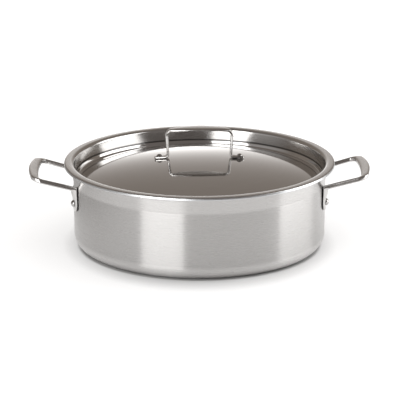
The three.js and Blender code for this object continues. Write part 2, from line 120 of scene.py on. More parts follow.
def rim_edge(depth):
    """Where the surface at this depth under the outside ends on the rim's rounded edge."""
    under = max(EDGE_FOOT - depth, 0)
    over = max(depth - WALL + EDGE_ROUND, 0)
    setback = EDGE_FOOT - sqrt(EDGE_FOOT**2 - under**2)
    setback += EDGE_ROUND - sqrt(EDGE_ROUND**2 - over**2)
    setback += max(depth - EDGE_FOOT, 0) * tan(EDGE_LEAN)
    radius = RIM_RADIUS - setback
    return radius, CROWN_HEIGHT + sqrt((RIM_CROWN + depth) ** 2 - (radius - CROWN_RADIUS) ** 2)


def wall_surface(depth):
    """The wall from the axis to the rim, this deep under its outside, as (radius, height)."""
    corner = OUTSIDE_RADIUS - BASE_CORNER, BASE_CORNER
    crease = OUTSIDE_RADIUS + CREASE_ROUND, CREASE_HEIGHT - CREASE_ROUND * tan(SEAT_LEAN / 2)
    cove = COVE_RADIUS, COVE_HEIGHT
    crest = pi / 2 + CREST_LEAN
    turns = [
        arc(corner, BASE_CORNER - depth, -pi / 2, 0, BASE_STEPS),
        arc(crease, CREASE_ROUND + depth, pi, pi - SEAT_LEAN, CREASE_STEPS),
        arc(cove, RIM_COVE + depth, pi - SEAT_LEAN, crest, COVE_STEPS),
    ]
    line = [(0, depth), (corner[0] - HOLD, depth)]
    for turn, following in zip(turns, turns[1:]):
        line += [*turn, towards(turn[-1], following[0], HOLD)]
        line.append(towards(following[0], turn[-1], HOLD))
    edge = rim_edge(depth)
    fall = atan2(edge[1] - CROWN_HEIGHT, edge[0] - CROWN_RADIUS)
    crown = arc((CROWN_RADIUS, CROWN_HEIGHT), RIM_CROWN + depth, crest, fall, CROWN_STEPS)
    return [*line, *turns[-1], *crown[1:-1]]


def ply_profile(outer, inner):
    """One ply of the sheet, between two depths, with its share of the rim's rounded edge."""
    edge = [rim_edge(outer + (inner - outer) * i / EDGE_STEPS) for i in range(EDGE_STEPS + 1)]
    return [*wall_surface(outer), *edge, *reversed(wall_surface(inner))]


def fill(tree, target, inputs):
    """Fills a node's inputs with plain values or with links from other nodes."""
    for key, value in inputs.items():
        if isinstance(value, bpy.types.NodeSocket):
            tree.links.new(value, target.inputs[key])
        else:
            target.inputs[key].default_value = value


def add_node(tree, kind, inputs=(), **options):
    """Adds a node with these options and inputs."""
    made = tree.nodes.new(kind)
    for option, value in options.items():
        setattr(made, option, value)
    fill(tree, made, dict(inputs))
    return made


def maths(tree, operation, *values):
    """The result of a maths node on values or links."""
    return add_node(tree, "ShaderNodeMath", enumerate(values), operation=operation).outputs[0]


def vector_maths(tree, operation, inputs, output="Vector"):
    """The result of a vector maths node, a vector unless its value is asked for."""
    made = add_node(tree, "ShaderNodeVectorMath", inputs, operation=operation)
    return made.outputs[output]


def tree_with(name, inputs):
    """A geometry node tree with these inputs, as (name, socket type), and one geometry output."""
    tree = bpy.data.node_groups.new(name, "GeometryNodeTree")
    for label, kind in inputs:
        tree.interface.new_socket(label, in_out="INPUT", socket_type=kind)
    tree.interface.new_socket("Solid", in_out="OUTPUT", socket_type="NodeSocketGeometry")
    return tree, add_node(tree, "NodeGroupInput").outputs


def close_tree(tree, geometry, finish):
    """Ends a tree: instances made real, the finish set, and the result handed out."""
    real = add_node(tree, "GeometryNodeRealizeInstances", {"Geometry": geometry}).outputs[0]
    dressed = add_node(tree, "GeometryNodeSetMaterial", {"Geometry": real, "Material": finish})
    add_node(tree, "NodeGroupOutput", {"Solid": dressed.outputs[0]})


def lathe_tree():
    """A tree that turns a profile, the vertices of the mesh it is given, into a solid about Z."""
    tree, given = tree_with(
        "turn_profile",
        [
            ("Profile", "NodeSocketGeometry"),
            ("Segments", "NodeSocketInt"),
            ("Finish", "NodeSocketMaterial"),
        ],
    )
    size = add_node(tree, "GeometryNodeAttributeDomainSize", {"Geometry": given["Profile"]})
    count = size.outputs["Point Count"]
    columns = maths(tree, "ADD", given["Segments"], 1)
    grid = add_node(tree, "GeometryNodeMeshGrid", {"Vertices X": columns, "Vertices Y": count})
    index = add_node(tree, "GeometryNodeInputIndex").outputs[0]
    along = maths(tree, "MODULO", index, count)
    column = maths(tree, "FLOOR", maths(tree, "DIVIDE", index, count))
    angle = maths(tree, "MULTIPLY", column, maths(tree, "DIVIDE", 2 * pi, given["Segments"]))
    place = add_node(tree, "GeometryNodeInputPosition").outputs[0]
    point = add_node(
        tree,
        "GeometryNodeSampleIndex",
        {"Geometry": given["Profile"], "Value": place, "Index": along},
        data_type="FLOAT_VECTOR",
    ).outputs[0]
    turned = add_node(
        tree,
        "ShaderNodeVectorRotate",
        {"Vector": point, "Axis": (0, 0, 1), "Angle": angle},
        rotation_type="AXIS_ANGLE",
    ).outputs[0]
    skin = add_node(
        tree, "GeometryNodeSetPosition", {"Geometry": grid.outputs["Mesh"], "Position": turned}
    )
    closed = add_node(
        tree, "GeometryNodeMergeByDistance", {"Geometry": skin.outputs[0], "Distance": WELD}
    )
    smooth = add_node(tree, "GeometryNodeSetShadeSmooth", {"Geometry": closed.outputs[0]})
    close_tree(tree, smooth.outputs[0], given["Finish"])
    return tree


def place_in_scene(name, data):
    """An object of this mesh, light or camera, linked to the scene."""
    piece = bpy.data.objects.new(name, data)
    bpy.context.scene.collection.objects.link(piece)
    return piece


def plain(piece):
    """Puts the evaluated shape in the piece's own mesh and takes its modifiers off."""
    shape = piece.evaluated_get(bpy.context.evaluated_depsgraph_get())
    mesh = bpy.data.meshes.new_from_object(shape)
    piece.modifiers.clear()
    piece.data = mesh
    mesh.name = piece.name
    mesh.set_sharp_from_angle(angle=SHARP_FROM)
    return piece


def made_by(tree, name, base, **inputs):
    """Runs a node tree on a base mesh and gives the result as an object with a plain mesh."""
    piece = place_in_scene(name, base)
    modifier = piece.modifiers.new(tree.name, "NODES")
    modifier.node_group = tree
    for socket in tree.interface.items_tree:
        if socket.name in inputs:
            modifier[socket.identifier] = inputs[socket.name]
    return plain(piece)


lathe = lathe_tree()


def turned_piece(name, profile, finish, segments=ROUND_SEGMENTS):
    """A solid turned about Z from (radius, height) points."""
    line = bpy.data.meshes.new(name + "_profile")
    line.from_pydata([(r, 0, z) for r, z in profile], [], [])
    return made_by(lathe, name, line, Segments=segments, Finish=finish)


def metal(name):
    """A bare metal finish: its material, node tree and shader."""
    finish = bpy.data.materials.new(name)
    finish.use_nodes = True
    tree = finish.node_tree
    shader = tree.nodes["Principled BSDF"]
    fill(tree, shader, {"Metallic": 1})
    return finish, tree, shader


def between(tree, value, low, high, start=0.3, end=0.7):
    """Maps a value from start and end, by default the ends of most noise, to low and high."""
    ends = {"From Min": start, "From Max": end, "To Min": low, "To Max": high}
    return add_node(tree, "ShaderNodeMapRange", {"Value": value, **ends}).outputs[0]


def mixed(tree, share, one, other, blend_type="MIX"):
    """Two colours or links, mixed by share."""
    sockets = {0: share, MIX_ONE: one, MIX_OTHER: other}
    made = add_node(tree, "ShaderNodeMix", sockets, data_type="RGBA", blend_type=blend_type)
    return made.outputs[MIX_RESULT]


def tinted(tree, share, one, other):
    """A colour between two plain ones, by share."""
    return mixed(tree, share, (*one, 1), (*other, 1))


def object_place(tree):
    """Coordinates in the piece's own frame."""
    return add_node(tree, "ShaderNodeTexCoord").outputs["Object"]


def off_axis(tree, x, y):
    """A point in plan, and its distance from the axis."""
    flat = add_node(tree, "ShaderNodeCombineXYZ", {"X": x, "Y": y}).outputs[0]
    return flat, vector_maths(tree, "LENGTH", {0: flat}, "Value")


def round_the_axis(tree):
    """Object coordinates as X, Y and Z, and the distance from the axis."""
    x, y, z = add_node(tree, "ShaderNodeSeparateXYZ", {0: object_place(tree)}).outputs
    return x, y, z, off_axis(tree, x, y)[1]


def noise(tree, place, scale, detail):
    """Noise at a place, as a value."""
    values = {"Vector": place, "Scale": scale, "Detail": detail}
    return add_node(tree, "ShaderNodeTexNoise", values).outputs[0]


def turned_grain(tree, length, width):
    """Streaks that run round the axis, about this long and this wide."""
    x, y, z, reach = round_the_axis(tree)
    streak = add_node(
        tree,
        "ShaderNodeCombineXYZ",
        {
            "X": maths(tree, "DIVIDE", x, length),
            "Y": maths(tree, "DIVIDE", y, length),
            "Z": maths(tree, "DIVIDE", maths(tree, "ADD", z, reach), width),
        },
    )
    return noise(tree, streak.outputs[0], scale=1, detail=3)


def bumped(tree, height, strength, distance):
    """A normal that follows a height pattern."""
    values = {"Height": height, "Strength": strength, "Distance": distance}
    return add_node(tree, "ShaderNodeBump", values).outputs[0]


def above_crease(tree, z, low, high):
    """One value below the crease and another above it."""
    return between(tree, z, low, high, CREASE_HEIGHT - CREASE_BLEND, CREASE_HEIGHT + CREASE_BLEND)


def brushed_outside():
    """Satin steel brushed round the wall; painted reflection lightens the flare and base corner.
    """
    finish, tree, shader = metal("brushed_outside")
    fine = turned_grain(tree, length=0.02, width=0.00025)
    broad = turned_grain(tree, length=0.05, width=0.0014)
    round_z = add_node(tree, "ShaderNodeTangent", direction_type="RADIAL", axis="Z").outputs[0]
    z = round_the_axis(tree)[2]
    # painted reflection: a lighter colour above the crease and at the base's corner
    above = above_crease(tree, z, 1, FLARE_PAINTED_REFLECTION)
    below = between(tree, z, BASE_PAINTED_REFLECTION, 1, BASE_REFLECTION_START, BASE_REFLECTION_END)
    painted_reflection = maths(tree, "MULTIPLY", above, below)
    steel = tinted(tree, broad, *OUTSIDE_TINTS)
    fill(
        tree,
        shader,
        {
            "Base Color": vector_maths(tree, "SCALE", {0: steel, "Scale": painted_reflection}),
            "Roughness": between(tree, fine, *OUTSIDE_ROUGHNESS),
            "Anisotropic": 1,
            "Anisotropic Rotation": 0.25,
            "Tangent": round_z,
            "Normal": bumped(tree, fine, strength=0.04, distance=0.00002),
        },
    )
    return finish


def bare_aluminium():
    """The core's cut edge, polished with the rim, and dull hidden faces with turning marks."""
    finish, tree, shader = metal("bare_aluminium")
    marks = turned_grain(tree, length=0.01, width=0.0002)
    reach = round_the_axis(tree)[3]
    dull = between(tree, reach, 1, EDGE_POLISH, EDGE_POLISH_START, EDGE_POLISH_END)
    rough = between(tree, marks, *CORE_ROUGHNESS)
    fill(
        tree,
        shader,
        {
            "Base Color": tinted(tree, marks, *CORE_TINTS),
            "Roughness": maths(tree, "MULTIPLY", rough, dull),
        },
    )
    return finish


def satin_inside():
    """Fine satin, smoother on the seat, with a painted shadow line along the lid's edge."""
    finish, tree, shader = metal("satin_inside")
    fine = turned_grain(tree, length=0.015, width=0.0003)
    _, _, z, reach = round_the_axis(tree)
    short_of_rim = between(tree, reach, 1, 0, SEAT_END, RIM_START)
    on_seat = maths(tree, "MULTIPLY", above_crease(tree, z, 0, 1), short_of_rim)
    elsewhere = maths(tree, "SUBTRACT", 1, on_seat)
    satin = maths(tree, "MULTIPLY", between(tree, fine, *SATIN_ROUGHNESS), elsewhere)
    smooth = maths(tree, "MULTIPLY", between(tree, fine, *SEAT_ROUGHNESS), on_seat)
    # painted shadow along the lid's edge, darkening the colour
    off_line = maths(tree, "ABSOLUTE", maths(tree, "SUBTRACT", z, LID_SHADOW_HEIGHT))
    lid_shadow = between(tree, off_line, LID_SHADOW_DARKNESS, 1, LID_SHADOW_WIDTH / 2, LID_SHADOW_WIDTH)
    steel = tinted(tree, fine, *INSIDE_TINTS)
    fill(
        tree,
        shader,
        {
            "Base Color": vector_maths(tree, "SCALE", {0: steel, "Scale": lid_shadow}),
            "Roughness": maths(tree, "ADD", satin, smooth),
            "Normal": bumped(tree, fine, strength=0.04, distance=0.00003),
        },
    )
    return finish


for name, outer, inner, finish, slot in (
    ("outer_ply", 0, SKIN, brushed_outside(), "pan_outside"),
    ("core_ply", SKIN + BOND_LINE, WALL - SKIN - BOND_LINE, bare_aluminium(), "pan_core"),
    ("inner_ply", WALL - SKIN, WALL, satin_inside(), "pan_inside"),
):
    ply = turned_piece("bowl_" + name, ply_profile(outer, inner), finish)
    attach(ply, "pan")
    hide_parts("pan_" + name)

# Each side handle is one polished steel casting: an ear that hugs the wall under each arm,
# two arms that rise outwards, and a flat grip between them. Two rivets hold it to the wall.
SEAT_GAP = 0.0003
HANDLE_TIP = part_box("side_handle_right")[1].x
HANDLE_SPAN = 0.09  # across the arms at the wall
GRIP_SPAN = 0.096  # across the arms at the grip
HANDLE_DEPTH = 0.0251  # from the rim's top down to the arms' middle at the wall
ARM_ROOT = sqrt(OUTSIDE_RADIUS**2 - (HANDLE_SPAN / 2) ** 2)
ARM_MIDDLE = RIM_HEIGHT - HANDLE_DEPTH
ROOT_TILT = radians(15.5)
TIP_TILT = radians(14.5)
ARM_WIDTH = 0.0058
ARM_THICKNESS = 0.0056
ARM_BEVEL = 0.0018
GRIP_WIDTH = 0.0104
GRIP_THICKNESS = 0.0062
GRIP_BEVEL = 0.0003
GRIP_BOW = 0.0036
GRIP_INNER_BOW = 0.002
HANDLE_CORNER = 0.014
HANDLE_INNER_CORNER = 0.006
GRIP_END = HANDLE_TIP - GRIP_BOW
OUTER_CENTRE = GRIP_END - HANDLE_CORNER, GRIP_SPAN / 2 - HANDLE_CORNER
INNER_CENTRE = (
    GRIP_END - GRIP_WIDTH - HANDLE_INNER_CORNER,
    GRIP_SPAN / 2 - ARM_WIDTH - HANDLE_INNER_CORNER,
)
ARM_SPLAY = (GRIP_SPAN / 2 - HANDLE_SPAN / 2) / (OUTER_CENTRE[0] - ARM_ROOT)
EAR_RADIUS = 0.01
EAR_MIDDLE = HANDLE_SPAN / 2 - EAR_RADIUS
EAR_RIVET_DEPTH = 0.044  # from the rim's top down to the rivet
RIVET_HEIGHT = RIM_HEIGHT - EAR_RIVET_DEPTH
RIVET_HEAD = 0.0086
EAR_ROOT_THICKNESS = 0.006
EAR_THICKNESS = 0.0028
EAR_TIP_THICKNESS = 0.0022
EAR_BACK = OUTSIDE_RADIUS + SEAT_GAP
EAR_TOP = ARM_MIDDLE + ARM_THICKNESS / 2
EAR_START = radians(-80)  # short of the very tip, which the first ring closes
ARM_Y = (HANDLE_SPAN - ARM_WIDTH) / 2
ROOT_FILLET = 0.003
ROOT_CORNER = 0.0025
ROOT_REACH = 0.012  # off the wall, where the arm runs straight
ARM_LEAD = 0.002  # from the root's last ring to the start of the plain arm
EAR_STEPS = 8
CLIMB_STEPS = 6
ROOT_STEPS = 6
ARM_SHARES = 0.12, 0.4, 0.7, 0.9
HANDLE_CORNER_STEPS = 10
SMOOTHING_LEVELS = 2
GRIP_SHARES = 0.9, 0.75, 0.6, 0.45, 0.3, 0.15, 0
HANDLE_TINTS = (0.57, 0.56, 0.55), (0.63, 0.62, 0.61)
HANDLE_ROUGHNESS = 0.14, 0.22


def strap_section(points, squareness):
    """A rounded rectangle as pairs from -1 to 1, across its width and its thickness."""

    def eased(value):
        return copysign(abs(value) ** (2 / squareness), value)

    angles = [2 * pi * (i + 0.5) / points for i in range(points)]
    return [(eased(cos(a)), eased(sin(a))) for a in angles]


def rounded_corner(a, b, c, radius, steps):
    """The arc that rounds the corner b between a and c."""
    ways = []
    for p in (a, c):
        length = hypot(p[0] - b[0], p[1] - b[1])
        ways.append(((p[0] - b[0]) / length, (p[1] - b[1]) / length))
    back, on = ways
    half = asin(hypot(on[0] - back[0], on[1] - back[1]) / 2)
    out = [(back[i] + on[i]) / (2 * cos(half)) for i in (0, 1)]
    centre = [b[i] + out[i] * radius / sin(half) for i in (0, 1)]
    start, end = [
        [b[i] + way[i] * radius / tan(half) - centre[i] for i in (0, 1)] for way in ways
    ]
    turn = atan2(start[0] * end[1] - start[1] * end[0], start[0] * end[0] + start[1] * end[1])
    first = atan2(start[1], start[0])
    return arc(centre, radius, first, first + turn, steps)


def lofted_piece(name, rings, finish):
    """A closed skin through rings of points, smoothed by subdivision."""
    shape = bmesh.new()
    loops = [[shape.verts.new(point) for point in ring] for ring in rings]
    for ring, following in zip(loops, loops[1:]):
        for i in range(len(ring)):
            j = (i + 1) % len(ring)
            shape.faces.new((ring[i], ring[j], following[j], following[i]))
    shape.faces.new(loops[0])
    shape.faces.new(loops[-1])
    bmesh.ops.recalc_face_normals(shape, faces=shape.faces)
    for face in shape.faces:
        face.smooth = True
    mesh = bpy.data.meshes.new(name)
    shape.to_mesh(mesh)
    shape.free()
    mesh.materials.append(finish)
    piece = place_in_scene(name, mesh)
    smoothing = piece.modifiers.new("smooth_skin", "SUBSURF")
    smoothing.levels = smoothing.render_levels = SMOOTHING_LEVELS
    return plain(piece)


def handle_height(x):
    """The middle of a handle's arms and grip: steep at the wall, flatter out."""
    out = x - ARM_ROOT
    bend = (tan(TIP_TILT) - tan(ROOT_TILT)) / (2 * (HANDLE_TIP - ARM_ROOT))
    return ARM_MIDDLE + out * tan(ROOT_TILT) + out**2 * bend


def arm_side(x):
    """The outer side of an arm in plan."""
    return GRIP_SPAN / 2 - ARM_SPLAY * (OUTER_CENTRE[0] - x)


def ear_inner_edge(z):
    """How near the loop's middle plane an ear reaches, at heights above its rivet."""
    # as t goes from 0 at the arm to 1, the edge falls by EAR_RADIUS * t + steep * t**2
    steep = EAR_TOP - EAR_RADIUS - RIVET_HEIGHT
    fall = max(EAR_TOP - z, 0)
    t = (sqrt(EAR_RADIUS**2 + 4 * steep * fall) - EAR_RADIUS) / (2 * steep)
    widest = EAR_MIDDLE - EAR_RADIUS
    return widest + (HANDLE_SPAN / 2 - ARM_WIDTH - widest) * (1 - min(t, 1)) ** 2


def ear_front(z):
    """The ear's thickness off the wall at a height."""
    steps = [
        (RIVET_HEIGHT - EAR_RADIUS, EAR_TIP_THICKNESS),
        (RIVET_HEIGHT - RIVET_HEAD / 2, EAR_THICKNESS),
        (RIVET_HEIGHT + RIVET_HEAD / 2, EAR_THICKNESS),
        (EAR_TOP - ARM_THICKNESS, EAR_ROOT_THICKNESS),
    ]
    for (z0, t0), (z1, t1) in zip(steps, steps[1:]):
        if z <= z1:
            return t0 + (t1 - t0) * (z - z0) / (z1 - z0)
    return EAR_ROOT_THICKNESS


def off_wall(y, off):
    """The X of a point at y, this far off the ear's back."""
    return sqrt((EAR_BACK + off) ** 2 - y**2)


def arm_root():
    """The arm's top and underside where they leave the ear, as (off the wall, height)."""
    under = handle_height(off_wall(ARM_Y, EAR_ROOT_THICKNESS)) - ARM_THICKNESS / 2
    over = handle_height(off_wall(ARM_Y, 0)) + ARM_THICKNESS / 2
    ahead = handle_height(off_wall(ARM_Y, ROOT_REACH))
    below = RIVET_HEIGHT + RIVET_HEAD / 2
    top = rounded_corner(
        (0, below), (0, over), (ROOT_REACH, ahead + ARM_THICKNESS / 2), ROOT_CORNER, ROOT_STEPS
    )
    underside = rounded_corner(
        (EAR_THICKNESS, below),
        (EAR_ROOT_THICKNESS, under),
        (ROOT_REACH, ahead - ARM_THICKNESS / 2),
        ROOT_FILLET,
        ROOT_STEPS,
    )
    return top, underside


def root_ring(section, back, front, inner, outer, straight=0, bevel=0):
    """A ring of an ear or an arm's root, between two points (off the wall, height)."""
    ring = []
    for across, up in section:
        half = (outer - inner - bevel * (1 + up)) / 2
        y = (inner + outer) / 2 + half * across
        off = (back[0] + front[0]) / 2 + (back[0] - front[0]) / 2 * up
        z = (back[1] + front[1]) / 2 + (back[1] - front[1]) / 2 * up
        ring.append((off_wall(y + (ARM_Y - y) * straight, off), y, z))
    return ring


def ear_rings(section):
    """Rings from the tip of the ear at +Y up to its rivet."""
    rings = []
    for _, z in arc((0, RIVET_HEIGHT), EAR_RADIUS, EAR_START, 0, EAR_STEPS):
        half = sqrt(EAR_RADIUS**2 - (z - RIVET_HEIGHT) ** 2)
        edges = EAR_MIDDLE - half, EAR_MIDDLE + half
        rings.append(root_ring(section, (0, z), (ear_front(z), z), *edges))
    return rings


def root_rings(section, top, underside):
    """Rings from the rivet up the ear, and round into the arm."""
    rings = []
    for i in range(1, CLIMB_STEPS):
        share = i / CLIMB_STEPS
        back = 0, RIVET_HEIGHT + (top[0][1] - RIVET_HEIGHT) * share
        z = RIVET_HEIGHT + (underside[0][1] - RIVET_HEIGHT) * share
        inner = ear_inner_edge((back[1] + z) / 2)
        rings.append(root_ring(section, back, (ear_front(z), z), inner, HANDLE_SPAN / 2))
    for i, (back, front) in enumerate(zip(top, underside)):
        turn = i / ROOT_STEPS
        outer = arm_side(max(off_wall(ARM_Y, front[0]), ARM_ROOT))
        inner = ear_inner_edge((back[1] + front[1]) / 2)
        inner += (outer - ARM_WIDTH - inner) * turn
        outer = HANDLE_SPAN / 2 + (outer - HANDLE_SPAN / 2) * turn
        bevel = ARM_BEVEL * turn
        rings.append(root_ring(section, back, front, inner, outer, turn**2, bevel))
    return rings


def loop_ring(section, near, far, thickness, bevel):
    """A ring between the loop's inner and outer edge in plan, narrower on top by the bevel."""
    half = hypot(far[0] - near[0], far[1] - near[1]) / 2
    ring = []
    for across, up in section:
        share = across * (1 - bevel / half * (1 + up) / 2) / 2
        x = (near[0] + far[0]) / 2 + (far[0] - near[0]) * share
        y = (near[1] + far[1]) / 2 + (far[1] - near[1]) * share
        ring.append((x, y, handle_height(x) + thickness / 2 * up))
    return ring


def loop_rings(section, start):
    """Rings along the arm, round its corner and to the middle of the grip."""
    rings = []
    for share in ARM_SHARES:
        inner = start + (INNER_CENTRE[0] - start) * share
        outer = start + (OUTER_CENTRE[0] - start) * share
        near, far = (inner, arm_side(inner) - ARM_WIDTH), (outer, arm_side(outer))
        rings.append(loop_ring(section, near, far, ARM_THICKNESS, ARM_BEVEL))
    outer_corner = arc(OUTER_CENTRE, HANDLE_CORNER, pi / 2, 0, HANDLE_CORNER_STEPS)
    inner_corner = arc(INNER_CENTRE, HANDLE_INNER_CORNER, pi / 2, 0, HANDLE_CORNER_STEPS)
    for i, (near, far) in enumerate(zip(inner_corner, outer_corner)):
        growth = (GRIP_THICKNESS - ARM_THICKNESS) * i / HANDLE_CORNER_STEPS
        left = max(1 - 2 * i / HANDLE_CORNER_STEPS, 0)
        bevel = GRIP_BEVEL + (ARM_BEVEL - GRIP_BEVEL) * left
        rings.append(loop_ring(section, near, far, ARM_THICKNESS + growth, bevel))
    for share in GRIP_SHARES:
        bowed = 1 - share**2
        near = GRIP_END - GRIP_WIDTH + GRIP_INNER_BOW * bowed, INNER_CENTRE[1] * share
        far = GRIP_END + GRIP_BOW * bowed, OUTER_CENTRE[1] * share
        rings.append(loop_ring(section, near, far, GRIP_THICKNESS, GRIP_BEVEL))
    return rings


def half_handle(section):
    """Rings from the tip of the ear at +Y to the middle of the grip."""
    top, underside = arm_root()
    start = off_wall(ARM_Y, (top[-1][0] + underside[-1][0]) / 2) + ARM_LEAD
    root = root_rings(section, top, underside)
    return [*ear_rings(section), *root, *loop_rings(section, start)]


def cast_steel():
    """Cast and polished steel: bright, with the soft waviness that polishing leaves."""
    finish, tree, shader = metal("cast_steel")
    place = object_place(tree)
    wave = noise(tree, place, scale=90, detail=1)
    fine = noise(tree, place, scale=1400, detail=3)
    fill(
        tree,
        shader,
        {
            "Base Color": tinted(tree, wave, *HANDLE_TINTS),
            "Roughness": between(tree, fine, *HANDLE_ROUGHNESS),
            "Normal": bumped(tree, wave, strength=0.12, distance=0.0006),
        },
    )
    return finish


handle_steel = cast_steel()
one_half = half_handle(strap_section(points=24, squareness=3.5))
other_half = [[(x, -y, z) for x, y, z in ring] for ring in reversed(one_half[:-1])]
for side, turn in (("right", 1), ("left", -1)):
    rings = [[(x * turn, y * turn, z) for x, y, z in ring] for ring in one_half + other_half]
    handle = lofted_piece(f"loop_handle_{side}", rings, handle_steel)
    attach(handle, "pan")
    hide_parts(f"side_handle_{side}")

# Four solid steel rivets go through the ears and the wall: a domed head outside,
# and a wider, flatter head set against the cooking surface.
RIVET_SHANK = 0.0038
RIVET_HEAD_HEIGHT = 0.003
RIVET_INNER_HEAD = 0.01
RIVET_INNER_HEIGHT = 0.0018
EAR_FACE = EAR_BACK + EAR_THICKNESS + SEAT_GAP
INNER_SAG = RIVET_INNER_HEAD**2 / (8 * INSIDE_RADIUS)  # of the round wall behind a flat head
INNER_HEAD_GAP = SEAT_GAP / 3
INNER_FACE = INSIDE_RADIUS - INNER_SAG - INNER_HEAD_GAP
RIVET_AZIMUTH = asin(EAR_MIDDLE / (OUTSIDE_RADIUS + EAR_THICKNESS))
RIVET_DOME_STEPS = 8
RIVET_SEGMENTS = 48
RIVET_TINTS = (0.43, 0.42, 0.41), (0.51, 0.5, 0.49)
RIVET_ROUGHNESS = 0.1, 0.2


def rivet_profile(shank, head, height, grip, set_head, set_height):
    """A rivet about Z: its head stands on z = 0, and its set head closes the grip below."""

    def dome(diameter, rise):
        radius = ((diameter / 2) ** 2 + rise**2) / (2 * rise)
        return rise - radius, radius, asin(diameter / 2 / radius)

    top, top_radius, top_half = dome(head, height)
    under, under_radius, under_half = dome(set_head, set_height)
    set_end = under_half - pi / 2
    return [
        *arc((0, -grip - under), under_radius, -pi / 2, set_end, RIVET_DOME_STEPS),
        (shank / 2, -grip),
        (shank / 2, 0),
        *arc((0, top), top_radius, pi / 2 - top_half, pi / 2, RIVET_DOME_STEPS),
    ]


def riveting_tree():
    """A tree that sets a rivet on each point it is given, along that point's own direction."""
    tree, given = tree_with(
        "set_rivets",
        [
            ("Seats", "NodeSocketGeometry"),
            ("Rivet", "NodeSocketObject"),
            ("Finish", "NodeSocketMaterial"),
        ],
    )
    rivet = add_node(tree, "GeometryNodeObjectInfo", {"Object": given["Rivet"]})
    outward = add_node(
        tree, "GeometryNodeInputNamedAttribute", {"Name": "outward"}, data_type="FLOAT_VECTOR"
    )
    aim = add_node(
        tree, "FunctionNodeAlignRotationToVector", {"Vector": outward.outputs[0]}, axis="Z"
    )
    placed = add_node(
        tree,
        "GeometryNodeInstanceOnPoints",
        {
            "Points": given["Seats"],
            "Instance": rivet.outputs["Geometry"],
            "Rotation": aim.outputs[0],
        },
    )
    close_tree(tree, placed.outputs[0], given["Finish"])
    return tree


riveting = riveting_tree()


def set_of_rivets(name, profile, seats, finish):
    """One mesh of rivets on seats, each a place and an outward direction."""
    pattern = turned_piece(name + "_pattern", profile, finish, segments=RIVET_SEGMENTS)
    points = bpy.data.meshes.new(name + "_seats")
    points.from_pydata([place for place, _ in seats], [], [])
    outward = points.attributes.new("outward", "FLOAT_VECTOR", "POINT")
    for i, (_, direction) in enumerate(seats):
        outward.data[i].vector = direction
    rivets = made_by(riveting, name, points, Rivet=pattern, Finish=finish)
    bpy.data.objects.remove(pattern)
    return rivets


def bright_rivet():
    """Headed steel, bright, with a few dull specks from the setting tool."""
    finish, tree, shader = metal("bright_rivet")
    specks = noise(tree, object_place(tree), scale=900, detail=2)
    fill(
        tree,
        shader,
        {
            "Base Color": tinted(tree, specks, *RIVET_TINTS),
            "Roughness": between(tree, specks, *RIVET_ROUGHNESS),
        },
    )
    return finish


rivet_steel = bright_rivet()
side_profile = rivet_profile(
    RIVET_SHANK,
    RIVET_HEAD,
    RIVET_HEAD_HEIGHT,
    EAR_FACE - INNER_FACE,
    RIVET_INNER_HEAD,
    RIVET_INNER_HEIGHT,
)
side_seats = []
for azimuth in (-RIVET_AZIMUTH, RIVET_AZIMUTH, pi - RIVET_AZIMUTH, pi + RIVET_AZIMUTH):
    outward = cos(azimuth), sin(azimuth), 0
    side_seats.append(((EAR_FACE * outward[0], EAR_FACE * outward[1], RIVET_HEIGHT), outward))
side_rivets = set_of_rivets("handle_rivets", side_profile, side_seats, rivet_steel)
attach(side_rivets, "pan")
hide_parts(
    *(f"side_rivet_{s}_{e}" for s in ("left", "right") for e in ("front", "back"))
)

# The lid is pressed from thin steel sheet and polished: a shallow dome, a valley round it,
# and a flange that slopes up to an edge resting in the bowl's leaning seat.
LID_SHEET = 0.001
LID_EDGE_DEPTH = 0.016  # from the rim's top down to the lid's edge
LID_EDGE_HEIGHT = RIM_HEIGHT - LID_EDGE_DEPTH
LID_FLANGE_WIDTH = 0.0016
LID_FLANGE_SLOPE = radians(72)
LID_VALLEY = 0.002
DOME_RADIUS = 0.445
LID_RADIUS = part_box("lid")[1].x
LID_EDGE_RADIUS = LID_RADIUS - LID_SHEET * sin(LID_FLANGE_SLOPE)
VALLEY_RADIUS = LID_EDGE_RADIUS - LID_FLANGE_WIDTH
VALLEY_HEIGHT = LID_EDGE_HEIGHT - LID_FLANGE_WIDTH * tan(LID_FLANGE_SLOPE)
DOME_CENTRE = VALLEY_HEIGHT - sqrt(DOME_RADIUS**2 - VALLEY_RADIUS**2)
DOME_STEPS = 28
VALLEY_STEPS = 12
LID_EDGE_STEPS = 8
LID_TINTS = (0.59, 0.58, 0.57), (0.63, 0.62, 0.61)
LID_ROUGHNESS = 0.06, 0.1


def lid_surface(depth):
    """The lid's sheet, this deep under its top, from the axis to its edge."""
    slope = tan(LID_FLANGE_SLOPE)
    reach = DOME_RADIUS + LID_VALLEY
    flange_lift = LID_VALLEY / cos(LID_FLANGE_SLOPE)
    lift = LID_EDGE_HEIGHT - LID_EDGE_RADIUS * slope + flange_lift - DOME_CENTRE
    half = slope * lift / (1 + slope**2)
    radius = sqrt(half**2 + (reach**2 - lift**2) / (1 + slope**2)) - half
    height = DOME_CENTRE + lift + radius * slope
    tilt = asin(radius / reach)
    dome = arc((0, DOME_CENTRE), DOME_RADIUS - depth, pi / 2, pi / 2 - tilt, DOME_STEPS)
    bottom = -pi / 2
    valley = arc(
        (radius, height),
        LID_VALLEY + depth,
        bottom - tilt,
        LID_FLANGE_SLOPE + bottom,
        VALLEY_STEPS,
    )
    return [*dome, *valley[1:]]


def lid_profile():
    """Both faces of the sheet, and its rounded edge."""
    half = LID_SHEET / 2
    middle = (
        LID_EDGE_RADIUS + half * (sin(LID_FLANGE_SLOPE) - cos(LID_FLANGE_SLOPE)),
        LID_EDGE_HEIGHT - half * (cos(LID_FLANGE_SLOPE) + sin(LID_FLANGE_SLOPE)),
    )
    below, above = LID_FLANGE_SLOPE - pi / 2, LID_FLANGE_SLOPE + pi / 2
    edge = arc(middle, half, below, above, LID_EDGE_STEPS)
    return [*lid_surface(LID_SHEET), *edge, *reversed(lid_surface(0))]


